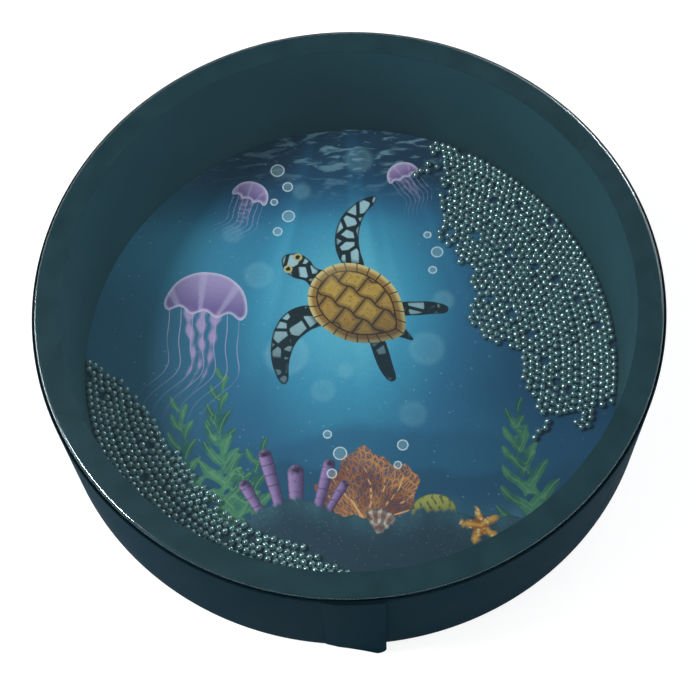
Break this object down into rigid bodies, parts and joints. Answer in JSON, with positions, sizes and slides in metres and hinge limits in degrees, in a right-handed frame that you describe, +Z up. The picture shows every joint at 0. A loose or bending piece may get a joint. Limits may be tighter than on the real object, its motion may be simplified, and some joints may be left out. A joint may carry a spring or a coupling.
{
  "type": "ocean drum",
  "caption": "Round closed frame drum with a clear upper head, a printed lower head and loose steel shot that rolls over the lower head and sounds like surf.",
  "frame": {"origin": "centre of the lower head's outer face, which the drum rests on", "axes": "+Z up through both heads, -Y towards the player's side with the wrap's lap, +X to the player's right"},
  "size_m": [0.254, 0.258, 0.0635],
  "materials": {
    "wood_fibre": "bare laminated wood fibre, hidden in the wall",
    "lining": "satin dark teal",
    "wrap": "satin near-black navy film",
    "clear_film": "clear glossy polyester film",
    "printed_film": null,
    "glue": "dark pigmented glue",
    "shot": "polished steel balls"
  },
  "bodies": {
    "drum": {"shell_inner_ply": "wood_fibre", "shell_core_ply": "wood_fibre", "shell_outer_ply": "wood_fibre", "inner_lining": "lining", "outer_wrap": "wrap", "wrap_lap": "wrap", "clear_head": "clear_film", "printed_head": "printed_film", "upper_glue_ring": "glue", "lower_glue_ring": "glue"},
    "right_drift": {"right_shot_1": "shot", "right_shot_2": "shot", "right_shot_3": "shot", "right_shot_4": "shot", "right_shot_5": "shot", "right_shot_6": "shot"},
    "left_drift": {"left_shot_1": "shot", "left_shot_2": "shot", "left_shot_3": "shot", "left_shot_4": "shot", "left_shot_5": "shot"},
    "loose_balls": {"loose_shot": "shot"},
    "tail_balls": {"tail_shot": "shot"}
  },
  "joints": [
    {"name": "shot_swirl", "type": "hinge", "parent": "drum", "child": "right_drift", "pos_m": [0, 0, 0], "axis": [0, 0, 1], "continuous": true},
    {"name": "left_drift_roll", "type": "hinge", "parent": "right_drift", "child": "left_drift", "pos_m": [0, 0, 0], "axis": [0, 0, 1], "range_deg": [-90, 50]},
    {"name": "loose_balls_roll", "type": "slide", "parent": "right_drift", "child": "loose_balls", "axis": [-0.7507, -0.6606, 0], "range_m": [0, 0.03]},
    {"name": "tail_balls_roll", "type": "slide", "parent": "right_drift", "child": "tail_balls", "axis": [-0.9507, -0.3102, 0], "range_m": [0, 0.03]}
  ]
}
